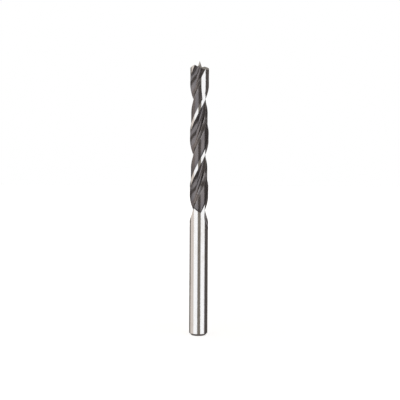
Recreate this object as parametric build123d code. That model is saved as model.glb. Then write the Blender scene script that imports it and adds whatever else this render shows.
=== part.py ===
from build123d import *
import math
import os

# Brad point drill bit for wood, one piece of hardened steel.
# Millimetres and degrees. The bit stands on its shank end: the origin is the centre of that end,
# and the axis runs up +Z to the tip of the centre spike. Angles about the axis count from +X.

# Bar and shank
overall_length = 117.0
cutting_diameter = 8.0
back_taper = 0.04               # the cutting part is this much thinner across at its lower end
shank_diameter = 7.96
shank_chamfer = 1.05

# The two flutes, a right-hand helix
flute_lead = 47.0
flute_length = 72.0             # from the spike's tip down to where the flutes have left the bar
flute_runout_length = 10.0      # stretch over which they rise to the surface
flute_runout_steps = 5
flute_runout_power = 2          # they rise as this power of the way down that stretch
flute_runout_lag = 50.0         # and turn this much less over it than the helix does
flute_end_gap = 0.1             # at their end the whole section is this far outside the bar

# Flute section, square to the axis. Angles count from a cutting edge back over its land
lip_ahead_of_axis = 0.9         # the lip runs this far ahead of the line through the axis
flute_floor_radius = 1.1
ridge_radius = 2.8              # ridge where the back flat of a land meets the next chip channel
ridge_angle = 109.0
heel_angle = 76.0               # heel, where that flat leaves the bar's surface
flat_past_ridge = 0.5           # the flat's cut runs on this far into the open channel
head_heel_angle = 98.0          # heel near the point, where the land has no flat
head_heel_foot = 0.12           # foot of the heel wall there, above the ridge

# Clearance behind the bright margin
margin_width = 1.3
margin_wall_lean = 3.0
clearance_depth = 0.5
clearance_start = 6.0           # from the spurs down to where it starts, at the heel
clearance_entry_length = 8.6    # from there down to where only the margin is left
clearance_entry_lean = 12.0
clearance_end_rise = 7.65       # lower end, beside the margin, above the end of the flutes
clearance_end_skew = 1.9        # the end is this much higher at the heel
clearance_end_lean = 35.0

# Point: centre spike, lips and spurs
spur_drop = 2.0                 # spur tips below the spike's tip
first_lip_direction = 46.0      # about the axis, at the height of the spurs
lip_rise_angle = 13.0           # the lips rise outward to the spurs
lip_relief_angle = 17.0         # the end faces fall away behind the lips
lip_root_radius = 1.2
spike_half_angle = 15.0
spike_back_turn = 8.0           # lets the back faces of the spike run out into the flutes
spike_back_radius = 0.6
spike_back_rise = 0.05          # floor behind the spike, above the lowest line of the lips

# Cuts run past the bar by this
overrun = 2.0

# Sizes that follow from these
cutting_radius = cutting_diameter / 2
outside = max(cutting_diameter, shank_diameter) / 2 + overrun
far = 2 * outside
spur_height = overall_length - spur_drop
twist_per_mm = 360.0 / flute_lead
edge_angle = math.degrees(math.asin(lip_ahead_of_axis / cutting_radius))
margin_angle = math.degrees(margin_width / cutting_radius)
flute_end_height = overall_length - flute_length
flute_full_height = flute_end_height + flute_runout_length
clearance_radius = cutting_radius - clearance_depth
clearance_top = spur_height - clearance_start
clearance_end_height = flute_end_height + clearance_end_rise
relief = math.tan(math.radians(lip_relief_angle))
spike_steepness = 1 / math.tan(math.radians(spike_half_angle))


def polar(radius, angle):
    return Vector(radius * math.cos(math.radians(angle)), radius * math.sin(math.radians(angle)))


def behind_edge(radius, angle):
    """Point this angle behind the cutting edge, in the frame of its lip."""
    return polar(radius, edge_angle - angle)


def frame_angle(height):
    """Direction of the first lip's frame at this height, as the helix carries it round."""
    return first_lip_direction + twist_per_mm * (height - spur_height)


def at_height(section, height):
    return Pos(0, 0, height) * Rot(0, 0, frame_angle(height)) * section


def twisted(section, bottom, top):
    """The section carried up the helix from bottom to top."""
    length = top - bottom
    face = at_height(section, bottom).face()
    return Solid.extrude_linear_with_rotation(face, (0, 0, bottom), (0, 0, length), twist_per_mm * length)


def on_surface(angle, height):
    """Point of the bar's surface, this angle behind the first cutting edge at this height."""
    point = polar(cutting_radius, frame_angle(height) + edge_angle - angle)
    return Vector(point.X, point.Y, height)


def bar():
    """Turned bar: chamfered shank, then the cutting part, with its back taper, to the spike's tip."""
    upright = (Align.CENTER, Align.CENTER, Align.MIN)
    shank = Cylinder(shank_diameter / 2, flute_end_height, align=upright)
    shank = chamfer(shank.edges().sort_by(Axis.Z)[0], shank_chamfer)
    cutting = Cone(cutting_radius - back_taper / 2, cutting_radius, flute_length, align=upright)
    return shank + Pos(0, 0, flute_end_height) * cutting


# Chip channel. It lies ahead of a lip, so the land behind it is the other one, half a turn on

ridge = behind_edge(ridge_radius, ridge_angle - 180)
floor_centre = Vector(ridge.X + flute_floor_radius, lip_ahead_of_axis + flute_floor_radius)


def channel_section(wall_top, heel):
    """Straight face below the lip, round floor, and a wall up to wall_top, from where the back of
    the other land goes out through its heel."""
    face_end = Vector(floor_centre.X, lip_ahead_of_axis)
    wall_start = Vector(ridge.X, floor_centre.Y)
    floor_middle = floor_centre + polar(flute_floor_radius, 225)
    heel_outside = heel + (heel - wall_top).normalized() * far
    return make_face(
        [
            Line((far, lip_ahead_of_axis), face_end),
            ThreePointArc(face_end, floor_middle, wall_start),
            Line(wall_start, wall_top),
            Line(wall_top, heel_outside),
            Line(heel_outside, (heel_outside.X, 2 * far)),
            Line((heel_outside.X, 2 * far), (far, 2 * far)),
            Line((far, 2 * far), (far, lip_ahead_of_axis)),
        ]
    )


def channel():
    """Chip channel up to the point, with the steep heel wall that the full land has there."""
    foot = Vector(ridge.X, ridge.Y + head_heel_foot)
    section = channel_section(foot, behind_edge(cutting_radius, head_heel_angle - 180))
    return twisted(section, flute_full_height, overall_length + overrun)


def runout():
    """Lower end of the flute, with the back flat beside it: the section rises out of the bar,
    square to the face below the lip."""
    section = channel_section(ridge, behind_edge(cutting_radius, heel_angle - 180))
    full_lift = cutting_radius - lip_ahead_of_axis + flute_end_gap
    sections = []
    for step in range(flute_runout_steps + 1):
        share = step / flute_runout_steps
        risen = share**flute_runout_power
        height = flute_full_height - flute_runout_length * share
        lifted = Rot(0, 0, flute_runout_lag * risen) * Pos(0, full_lift * risen) * section
        sections.append(at_height(lifted, height))
    return loft(sections)


# Back of a land: the flat down to the ridge, and the clearance between the margin and that flat


def back_flat():
    """Flat from the heel down to the ridge, and on into the open channel."""
    heel = behind_edge(cutting_radius, heel_angle)
    foot = behind_edge(ridge_radius, ridge_angle)
    down = (foot - heel).normalized()
    low = foot + down * flat_past_ridge
    high = heel - down * far
    section = make_face(Polyline(low, high, (high.X, -2 * far), (low.X, -2 * far), close=True))
    return twisted(section, flute_full_height, clearance_top + overrun)


def clearance():
    """Round step behind the margin, out past the flat, with its own lower end."""
    wall_top = behind_edge(outside, margin_angle - margin_wall_lean)
    wall_foot = behind_edge(clearance_radius, margin_angle + margin_wall_lean)
    middle = behind_edge(clearance_radius, (margin_angle + heel_angle) / 2)
    past_flat = behind_edge(clearance_radius, head_heel_angle)
    section = make_face(
        [
            Line(wall_top, wall_foot),
            ThreePointArc(wall_foot, middle, past_flat),
            Line(past_flat, (past_flat.X, -far)),
            Line((past_flat.X, -far), (far, -far)),
            Line((far, -far), (far, wall_top.Y)),
            Line((far, wall_top.Y), wall_top),
        ]
    )
    margin_end = on_surface(margin_angle, clearance_end_height)
    heel_end = on_surface(heel_angle, clearance_end_height + clearance_end_skew)
    end = kept_beyond(margin_end, heel_end, clearance_end_lean)
    return twisted(section, clearance_end_height - overrun, clearance_top + overrun) - end


def kept_beyond(start, end, lean):
    """Block of bar that stays whole, to the left of the line from start to end as seen from
    outside. Its wall goes down from that line, leaning away from the block."""
    along = (end - start).normalized()
    middle = (start + end) / 2
    outward = Vector(middle.X, middle.Y).normalized()
    into_block = outward.cross(along).normalized()
    normal = into_block * math.cos(math.radians(lean)) - outward * math.sin(math.radians(lean))
    wall = Plane(origin=middle, x_dir=along, z_dir=normal)
    length = (end - start).length + 4 * overrun
    return wall * Box(length, 2 * far, 2 * far, align=(Align.CENTER, Align.CENTER, Align.MIN))


def head_land():
    """Block round the land near the point, which has neither flat nor clearance."""
    heel_start = on_surface(head_heel_angle, clearance_top)
    margin_start = on_surface(margin_angle, clearance_top - clearance_entry_length)
    return kept_beyond(heel_start, margin_start, clearance_entry_lean)


# Point. Its cuts are drawn in the frame of the first lip, with the spike's tip at zero


def point_profile(root, floor_end, radius):
    """Face of the spike down to its root, a round there, and a floor on to floor_end."""
    side = math.copysign(1, floor_end[0])
    corner = (side * root, -spike_steepness * root)
    profile = make_face(
        Polyline((0, 0), corner, floor_end, (floor_end[0], overrun), (0, overrun), close=True)
    )
    return fillet(profile.vertices().sort_by_distance(corner)[0], radius)


def lip_profile():
    """Side view along a lip: flank of the spike, round root, and the lip rising to its spur."""
    spur_out = math.sqrt(cutting_radius**2 - lip_ahead_of_axis**2)
    spur_level = -spur_drop - lip_ahead_of_axis * relief
    rise = math.tan(math.radians(lip_rise_angle))
    root = (rise * spur_out - spur_level) / (spike_steepness + rise)
    return point_profile(root, (outside, spur_level + (outside - spur_out) * rise), lip_root_radius)


def lip_cut(profile):
    """Grind of the lip and of the spike's flank, falling away behind the lip."""
    back = Vector(0, -1, -relief)
    front = Pos(back * -outside) * (Plane.XZ * profile)
    return extrude(front, amount=2 * outside * back.length, dir=back)


def spike_back_cut(profile):
    """Grind behind the spike: its back face, a round root, and a floor that carries the lowest
    level of the lip on to the heel."""
    root_round = profile.edges().filter_by(GeomType.CIRCLE)[0]
    lowest = root_round.arc_center - Vector(0, lip_root_radius)
    floor_level = lowest.Y + spike_back_rise
    root = -floor_level / (spike_steepness - relief)
    back = point_profile(root, (-outside, floor_level - outside * relief), spike_back_radius)
    turn = math.tan(math.radians(spike_back_turn))
    inward = Vector(-1, -turn, -turn * relief)
    start = Pos(inward * -lowest.X) * (Plane.YZ * back)
    return extrude(start, amount=(lowest.X + outside) * inward.length, dir=inward)


def drill_bit():
    """The bar, with everything on the first side ground away, then the same half a turn on."""
    profile = lip_profile()
    at_tip = Pos(0, 0, overall_length) * Rot(0, 0, first_lip_direction)
    whole_land = head_land()
    cuts = [
        channel(),
        runout(),
        back_flat() - whole_land,
        clearance() - whole_land,
        at_tip * lip_cut(profile),
        at_tip * spike_back_cut(profile),
    ]
    bit = bar()
    for turn in (0, 180):
        for cut in cuts:
            bit -= Rot(0, 0, turn) * cut
    return bit


os.makedirs("parts", exist_ok=True)
export_step(drill_bit(), "parts/drill_bit.step")
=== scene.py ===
import bpy
import math
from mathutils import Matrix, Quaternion, Vector


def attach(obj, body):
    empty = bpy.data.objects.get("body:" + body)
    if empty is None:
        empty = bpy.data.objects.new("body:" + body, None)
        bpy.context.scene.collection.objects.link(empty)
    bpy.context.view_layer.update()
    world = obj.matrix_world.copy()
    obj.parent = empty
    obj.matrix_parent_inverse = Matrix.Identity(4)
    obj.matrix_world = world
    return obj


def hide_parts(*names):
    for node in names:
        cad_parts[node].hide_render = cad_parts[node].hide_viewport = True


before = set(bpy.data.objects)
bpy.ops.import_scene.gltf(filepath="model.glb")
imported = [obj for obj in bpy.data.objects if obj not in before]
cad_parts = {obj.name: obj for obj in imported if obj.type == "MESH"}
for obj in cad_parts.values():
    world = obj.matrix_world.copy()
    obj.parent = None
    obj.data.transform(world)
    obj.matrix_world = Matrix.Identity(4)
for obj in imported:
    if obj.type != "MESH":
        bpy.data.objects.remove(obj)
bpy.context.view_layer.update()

# The bit. One bar of hardened steel: turned, fluted by a grinding wheel, blackened all over in
# steam, and then ground bright again on the shank, the margins and the point.
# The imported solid's own surface is copied, so that each ground face can have its own finish.

weld_distance = 0.000001

bit = bpy.data.objects.new("ground_bit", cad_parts["drill_bit"].data.copy())
bpy.context.scene.collection.objects.link(bit)
bpy.ops.object.select_all(action="DESELECT")
bit.select_set(True)
bpy.context.view_layer.objects.active = bit
bpy.ops.object.mode_set(mode="EDIT")
bpy.ops.mesh.select_all(action="SELECT")
bpy.ops.mesh.remove_doubles(threshold=weld_distance, use_sharp_edge_from_normals=True)
bpy.ops.mesh.select_all(action="DESELECT")
bpy.ops.object.mode_set(mode="OBJECT")


def new_finish(name):
    """Material of this name, with its node tree and its shader."""
    finish = bpy.data.materials.new(name)
    finish.use_nodes = True
    return finish, finish.node_tree, finish.node_tree.nodes["Principled BSDF"]


def feed(tree, socket, value):
    """Gives the socket another node's output, or a constant."""
    if isinstance(value, bpy.types.NodeSocket):
        tree.links.new(value, socket)
    else:
        socket.default_value = value


def worked_out(tree, kind, operation, *terms):
    """Outputs of a Math or VectorMath node on these terms."""
    node = tree.nodes.new("ShaderNode" + kind)
    node.operation = operation
    for socket, term in zip(node.inputs, terms):
        feed(tree, socket, term)
    return node.outputs


def noise(tree, place, waves, detail):
    """Noise on the given coordinates, with this many waves to the metre along each axis."""
    mapping = tree.nodes.new("ShaderNodeMapping")
    mapping.inputs["Scale"].default_value = waves
    texture = tree.nodes.new("ShaderNodeTexNoise")
    texture.inputs["Scale"].default_value = 1.0
    texture.inputs["Detail"].default_value = detail
    tree.links.new(place, mapping.inputs["Vector"])
    tree.links.new(mapping.outputs["Vector"], texture.inputs["Vector"])
    return texture.outputs["Fac"]


def spread(tree, value, from_low, from_high, low, high):
    """The value, spread from one range to another."""
    ranged = tree.nodes.new("ShaderNodeMapRange")
    ranged.inputs["From Min"].default_value = from_low
    ranged.inputs["From Max"].default_value = from_high
    ranged.inputs["To Min"].default_value = low
    ranged.inputs["To Max"].default_value = high
    tree.links.new(value, ranged.inputs["Value"])
    return ranged.outputs["Result"]


def blend_colours(tree, share, first, second):
    """The first colour, going over to the second as the share goes from 0 to 1."""
    mix = tree.nodes.new("ShaderNodeMix")
    mix.data_type = "RGBA"
    tree.links.new(share, mix.inputs["Factor"])
    feed(tree, mix.inputs["A"], first)
    feed(tree, mix.inputs["B"], second)
    return mix.outputs["Result"]


def scratches(tree, shader, height, depth, strength):
    """Fine relief of this depth in metres, where the height goes from 0 to 1."""
    bump = tree.nodes.new("ShaderNodeBump")
    bump.inputs["Distance"].default_value = depth
    bump.inputs["Strength"].default_value = strength
    tree.links.new(height, bump.inputs["Height"])
    tree.links.new(bump.outputs["Normal"], shader.inputs["Normal"])


# Bright ground steel. The wheel leaves fine rings round the bar, and handling leaves faint stains.

clean_steel = (0.79, 0.775, 0.755, 1)
stained_steel = (0.70, 0.67, 0.63, 1)

steel, tree, shader = new_finish("bright_ground_steel")
shader.inputs["Metallic"].default_value = 1.0
place = tree.nodes.new("ShaderNodeTexCoord").outputs["Object"]
rings = noise(tree, place, waves=(90, 90, 9000), detail=2.0)
stains = noise(tree, place, waves=(420, 420, 160), detail=3.0)
stained = spread(tree, stains, from_low=0.52, from_high=0.78, low=0.0, high=1.0)
colour = blend_colours(tree, stained, clean_steel, stained_steel)
ringed = spread(tree, rings, from_low=0.35, from_high=0.65, low=0.10, high=0.17)
tree.links.new(colour, shader.inputs["Base Color"])
tree.links.new(ringed, shader.inputs["Roughness"])
scratches(tree, shader, rings, depth=0.000002, strength=0.5)

# Steam oxide, dark grey, warm in some places and cooler in others. Its grinding marks run along the
# flutes, so they are drawn in the frame of the helix and of its run-out. The ridges between the
# flutes and the lands are painted paler. This is partly rubbed wear, and partly a painted highlight
# where their edges catch the light.

warm_oxide = (0.205, 0.183, 0.178, 1)
cool_oxide = (0.155, 0.145, 0.151, 1)
ridge_wear_and_highlight = (0.50, 0.475, 0.45, 1)
heel_wear_and_highlight = (0.42, 0.40, 0.385, 1)
ridge_line = (0.000293, 0.002785)       # in the flutes' section: along the lip, and ahead of it
heel_line = (0.001133, -0.003312)
ridge_half_width = 0.00022
heel_half_width = 0.00016
full_wear_and_highlight = 0.3                          # share of the half width that is fully paler, with wear and painted highlight

flute_lead = 0.047
spur_height = 0.115
lip_direction_at_spurs = 46.0           # degrees about the axis, for the first lip
lip_direction_at_zero = lip_direction_at_spurs - 360.0 * spur_height / flute_lead
runout_top = 0.055
runout_length = 0.010
runout_lag = 50.0                       # degrees behind the helix at the run-out's end
runout_lift = 0.0032
runout_curve = 2.0                      # the flutes rise and lag with this power of the way down

oxide, tree, shader = new_finish("steam_black_oxide")
shader.inputs["Metallic"].default_value = 0.87
place = tree.nodes.new("ShaderNodeTexCoord").outputs["Object"]
split = tree.nodes.new("ShaderNodeSeparateXYZ")
tree.links.new(place, split.inputs["Vector"])
height = split.outputs["Z"]
turn_back = -2 * math.pi / flute_lead
turn_back_at_zero = -math.radians(lip_direction_at_zero)
helix = worked_out(tree, "Math", "MULTIPLY_ADD", height, turn_back, turn_back_at_zero)[0]
way_down = spread(tree, height, runout_top - runout_length, runout_top, 1.0, 0.0)
risen = worked_out(tree, "Math", "POWER", way_down, runout_curve)[0]
lagging = worked_out(tree, "Math", "MULTIPLY_ADD", risen, -math.radians(runout_lag), helix)[0]
unwound = tree.nodes.new("ShaderNodeVectorRotate")
unwound.rotation_type = "Z_AXIS"
tree.links.new(place, unwound.inputs["Vector"])
tree.links.new(lagging, unwound.inputs["Angle"])
along_flutes = unwound.outputs["Vector"]
lift = tree.nodes.new("ShaderNodeCombineXYZ")
tree.links.new(spread(tree, risen, 0.0, 1.0, 0.0, runout_lift), lift.inputs["Y"])


def wear_and_highlight_line(line, half_width):
    """1 on this line of the flutes and on the one half a turn away, 0 beyond its half width."""
    distances = []
    for side, lowering in ((1, "SUBTRACT"), (-1, "ADD")):
        lowered = worked_out(tree, "VectorMath", lowering, along_flutes, lift.outputs["Vector"])
        flat = worked_out(tree, "VectorMath", "MULTIPLY", lowered["Vector"], (1, 1, 0))
        there = (side * line[0], side * line[1], 0)
        away = worked_out(tree, "VectorMath", "DISTANCE", flat["Vector"], there)
        distances.append(away["Value"])
    nearest = worked_out(tree, "Math", "MINIMUM", *distances)[0]
    return spread(tree, nearest, full_wear_and_highlight * half_width, half_width, 1.0, 0.0)


marks = noise(tree, along_flutes, waves=(5000, 5000, 90), detail=3.0)
clouds = noise(tree, along_flutes, waves=(700, 700, 120), detail=2.0)
clouded = spread(tree, clouds, from_low=0.35, from_high=0.68, low=0.0, high=1.0)
film = blend_colours(tree, clouded, warm_oxide, cool_oxide)
# Paler lines on the ridges and heels: partly wear, partly a painted highlight where the edges catch
# the light.
on_ridge = wear_and_highlight_line(ridge_line, ridge_half_width)
on_heel = wear_and_highlight_line(heel_line, heel_half_width)
film_with_ridge_wear_and_highlight = blend_colours(tree, on_ridge, film, ridge_wear_and_highlight)
colour = blend_colours(tree, on_heel, film_with_ridge_wear_and_highlight, heel_wear_and_highlight)
marked = spread(tree, marks, from_low=0.3, from_high=0.7, low=0.18, high=0.28)
tree.links.new(colour, shader.inputs["Base Color"])
tree.links.new(marked, shader.inputs["Roughness"])
scratches(tree, shader, marks, depth=0.000003, strength=0.5)

# The faces. Those on the bar's surface, at the foot and at the point are bright. The shading takes
# the bar as truly round, and the lip faces as a little hollow, as the wheel leaves them.

bar_radius = 0.0040
bar_reach = 0.985               # share of that radius from which a face counts as on the bar
bar_outward = 0.9               # least part of such a face's normal that points outward
end_face_upward = 0.6           # least part that points up, on an end face and on the spike
spike_upward = 0.15
spike_radius = 0.0013
point_foot = 0.1122             # lowest line of the lips
foot_top = 0.00106              # top of the chamfer at the shank end

lip_ahead = 0.9                 # flutes' section in mm, as in_section gives it
floor_centre = Vector((1.393, 2.0))
floor_radius = 1.1
lip_reach = 0.06
floor_reach = 0.1
lip_facing = 12                 # most degrees that a lip face is turned from straight ahead
floor_facing = (-5, 95)         # least and most on the round floor
hollow_turn = 10.9              # degrees per mm out along the lip
floor_turn = 10.0               # degrees where the lip face ends and the floor begins
hollow_fade = 0.003             # height over which the hollow fades out above the run-out
seam_reach = 0.00002            # where the run-out joins the flutes, its shading is made even
same_surface = 0.93             # least cosine between two normals of one surface there


def in_section(point):
    """Where a point lies in the flutes' section, in mm: along the lip and ahead of it, with the
    directions of both."""
    x, y, z = point
    turn = math.radians(lip_direction_at_zero) + 2 * math.pi * z / flute_lead
    along = Vector((math.cos(turn), math.sin(turn), 0))
    ahead = Vector((-math.sin(turn), math.cos(turn), 0))
    flat = 1000 * Vector((x, y, 0))
    return Vector((flat.dot(along), flat.dot(ahead))), along, ahead


def hollow_lean(face, vertex):
    """Degrees that the wheel's hollow turns the surface here, on a lip face and the round below it.
    It fades out where the flutes start to leave the bar."""
    middle, along, ahead = in_section(face.center)
    side = 1 if face.normal.dot(ahead) + face.normal.dot(along) > 0 else -1
    facing = math.degrees(math.atan2(side * face.normal.dot(along), side * face.normal.dot(ahead)))
    spot = bit.data.vertices[vertex].co
    corner = side * in_section(spot)[0]
    above_runout = min(1, max(0, (spot.z - runout_top) / hollow_fade))
    if abs(side * middle.y - lip_ahead) < lip_reach and abs(facing) < lip_facing:
        return above_runout * ((corner.x - floor_centre.x) * hollow_turn - floor_turn)
    on_floor = abs((side * middle - floor_centre).length - floor_radius) < floor_reach
    if on_floor and floor_facing[0] < facing < floor_facing[1]:
        round_turn = math.atan2(floor_centre.x - corner.x, floor_centre.y - corner.y)
        return -above_runout * floor_turn * (1 - math.degrees(round_turn) / 90)
    return 0


bit.data.materials.clear()
bit.data.materials.append(oxide)
bit.data.materials.append(steel)
corner_normals = [corner.vector.copy() for corner in bit.data.corner_normals]
for face in bit.data.polygons:
    centre = face.center
    outward = Vector((centre.x, centre.y, 0)).normalized()
    nearest = min(Vector(bit.data.vertices[v].co[:2]).length for v in face.vertices)
    on_bar = nearest > bar_radius * bar_reach and face.normal.dot(outward) > bar_outward
    at_foot = centre.z < foot_top
    on_spike = Vector(centre[:2]).length < spike_radius and face.normal.z > spike_upward
    at_point = centre.z > point_foot and (face.normal.z > end_face_upward or on_spike)
    bright = on_bar or at_foot or at_point
    face.material_index = 1 if bright else 0
    for corner, vertex in zip(face.loop_indices, face.vertices):
        if on_bar and not at_foot:
            spot = bit.data.vertices[vertex].co
            corner_normals[corner] = Vector((spot.x, spot.y, 0)).normalized()
        elif not bright:
            lean = math.radians(hollow_lean(face, vertex))
            corner_normals[corner].rotate(Quaternion((0, 0, 1), lean))
seam = {}
for corner in bit.data.loops:
    if abs(bit.data.vertices[corner.vertex_index].co.z - runout_top) < seam_reach:
        seam.setdefault(corner.vertex_index, []).append(corner.index)
for corners in seam.values():
    apart = [corner_normals[corner] for corner in corners]
    for corner, normal in zip(corners, apart):
        joined = sum((other for other in apart if other.dot(normal) > same_surface), Vector())
        corner_normals[corner] = joined.normalized()
bit.data.normals_split_custom_set(corner_normals)
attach(bit, "root")
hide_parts("drill_bit")

# The table. White card, with the bit standing on it. The card's own light makes up what the studio
# leaves it short of white, less near the bit, so that the bit's soft shadow stays.

bpy.ops.object.select_all(action="DESELECT")
bpy.ops.mesh.primitive_plane_add(size=4.0, location=(0, 0, 0))
table = bpy.context.object
table.name = "white_table"
table_card, tree, shader = new_finish("white_table_card")
shader.inputs["Base Color"].default_value = (0.9, 0.9, 0.9, 1)
shader.inputs["Roughness"].default_value = 0.9
shader.inputs["Emission Color"].default_value = (1, 1, 1, 1)
place = tree.nodes.new("ShaderNodeTexCoord").outputs["Object"]
from_bit = worked_out(tree, "VectorMath", "LENGTH", place)["Value"]
glow = spread(tree, from_bit, from_low=0.02, from_high=0.30, low=0.74, high=1.0)
glow.node.interpolation_type = "SMOOTHSTEP"
tree.links.new(glow, shader.inputs["Emission Strength"])
table.data.materials.append(table_card)
table.visible_glossy = False

# The studio. White all round for the camera and for the metal's reflections. Two bright cards stand
# in front, left and right of the camera, and grey and dark cloths between and beside them draw the
# dark lines on the shank.

world = bpy.data.worlds.new("studio")
bpy.context.scene.world = world
world.use_nodes = True
tree = world.node_tree
dim = tree.nodes["Background"]
dim.inputs["Color"].default_value = (0.12, 0.12, 0.12, 1)
white = tree.nodes.new("ShaderNodeBackground")
white.inputs["Color"].default_value = (1, 1, 1, 1)
ray = tree.nodes.new("ShaderNodeLightPath").outputs
seen = worked_out(tree, "Math", "MAXIMUM", ray["Is Camera Ray"], ray["Is Glossy Ray"])[0]
sees_white = worked_out(tree, "Math", "MAXIMUM", seen, ray["Is Transmission Ray"])[0]
mix = tree.nodes.new("ShaderNodeMixShader")
tree.links.new(sees_white, mix.inputs[0])
tree.links.new(dim.outputs[0], mix.inputs[1])
tree.links.new(white.outputs[0], mix.inputs[2])
tree.links.new(mix.outputs[0], tree.nodes["World Output"].inputs["Surface"])


def cloth_card(card, name, light):
    """Gives the card its own even light and keeps it out of the camera's sight."""
    card.name = name
    cloth, _, shader = new_finish(name + "_cloth")
    shader.inputs["Base Color"].default_value = (0, 0, 0, 1)
    shader.inputs["Specular IOR Level"].default_value = 0.0
    shader.inputs["Emission Color"].default_value = (*light, 1)
    shader.inputs["Emission Strength"].default_value = 1.0
    card.data.materials.append(cloth)
    card.visible_camera = False


card_distance = 0.8
card_height = 4.0
card_middle = 0.06
box_light = (1.19, 1.21, 1.25)


def studio_card(name, from_angle, to_angle, light):
    """Tall card between two directions from the bit, counted from the camera to the right."""
    middle = math.radians((from_angle + to_angle) / 2)
    half_angle = math.radians((to_angle - from_angle) / 2)
    bpy.ops.object.select_all(action="DESELECT")
    bpy.ops.mesh.primitive_plane_add(
        size=1.0,
        location=(math.sin(middle) * card_distance, -math.cos(middle) * card_distance, card_middle),
        rotation=(math.radians(90), 0, middle),
    )
    card = bpy.context.object
    card.scale = (2 * card_distance * math.tan(half_angle), card_height, 1)
    cloth_card(card, name, light)


studio_card("left_box", -64, -14, box_light)
studio_card("right_box", 23.5, 77.5, box_light)
studio_card("middle_cloth", -14, 23.5, (0.225, 0.205, 0.18))
studio_card("left_panel", -118, -64, (0.78, 0.715, 0.67))
studio_card("left_cloth", -160, -118, (0.16, 0.145, 0.135))
studio_card("right_cloth", 77.5, 160, (0.095, 0.084, 0.082))

# Level cards. The grey one overhead shows in the end faces and the backs of the lands, and the
# paler one beside it in the spike. The dark ring and the dark disc, below the table, show along
# the cutting edges and in the chamfer, which look steeply down. The disc is painted shade: it
# stands for the table's shadow right round the foot, as the chamfer reflects it.

low_light = (0.15, 0.135, 0.128)
ring_radius = 0.31
ring_hole = 0.63                # share of that radius
disc_radius = 0.0055

for name, size, location, light in (
    ("overhead_cloth", 3.0, (0, 0, 0.36), (0.27, 0.255, 0.235)),
    ("spike_card", 0.3, (-0.49, 0.12, 0.35), (0.62, 0.58, 0.53)),
):
    bpy.ops.object.select_all(action="DESELECT")
    bpy.ops.mesh.primitive_plane_add(size=size, location=location)
    cloth_card(bpy.context.object, name, light)

bpy.ops.object.select_all(action="DESELECT")
bpy.ops.mesh.primitive_circle_add(vertices=64, radius=ring_radius, location=(0, 0, -0.25))
bpy.ops.object.mode_set(mode="EDIT")
bpy.ops.mesh.extrude_edges_move()
bpy.ops.transform.resize(value=(ring_hole, ring_hole, 1))
bpy.ops.object.mode_set(mode="OBJECT")
cloth_card(bpy.context.object, "low_ring", low_light)

# Painted shade: a dark disc for the table's shadow round the foot, seen only in reflections.
bpy.ops.object.select_all(action="DESELECT")
bpy.ops.mesh.primitive_circle_add(
    vertices=64, radius=disc_radius, fill_type="NGON", location=(0, 0, -0.0005)
)
cloth_card(bpy.context.object, "foot_shade", low_light)

# The camera. A longer lens in front of the bit, level with its flutes, looking a little down and
# a little off square. Its place was fitted to the photograph's outline of the bit.

bpy.ops.object.camera_add()
camera = bpy.context.object
camera.data.lens = 76.4
camera.data.sensor_width = 36
camera.location = (0, -0.362, 0.075)
aim = Vector((0.00044, 0, 0.0580))
roll = Quaternion((0, 0, 1), math.radians(0.33))
camera.rotation_mode = "QUATERNION"
camera.rotation_quaternion = (aim - camera.location).to_track_quat("-Z", "Y") @ roll
bpy.context.scene.camera = camera
bpy.context.scene.view_settings.view_transform = "Standard"
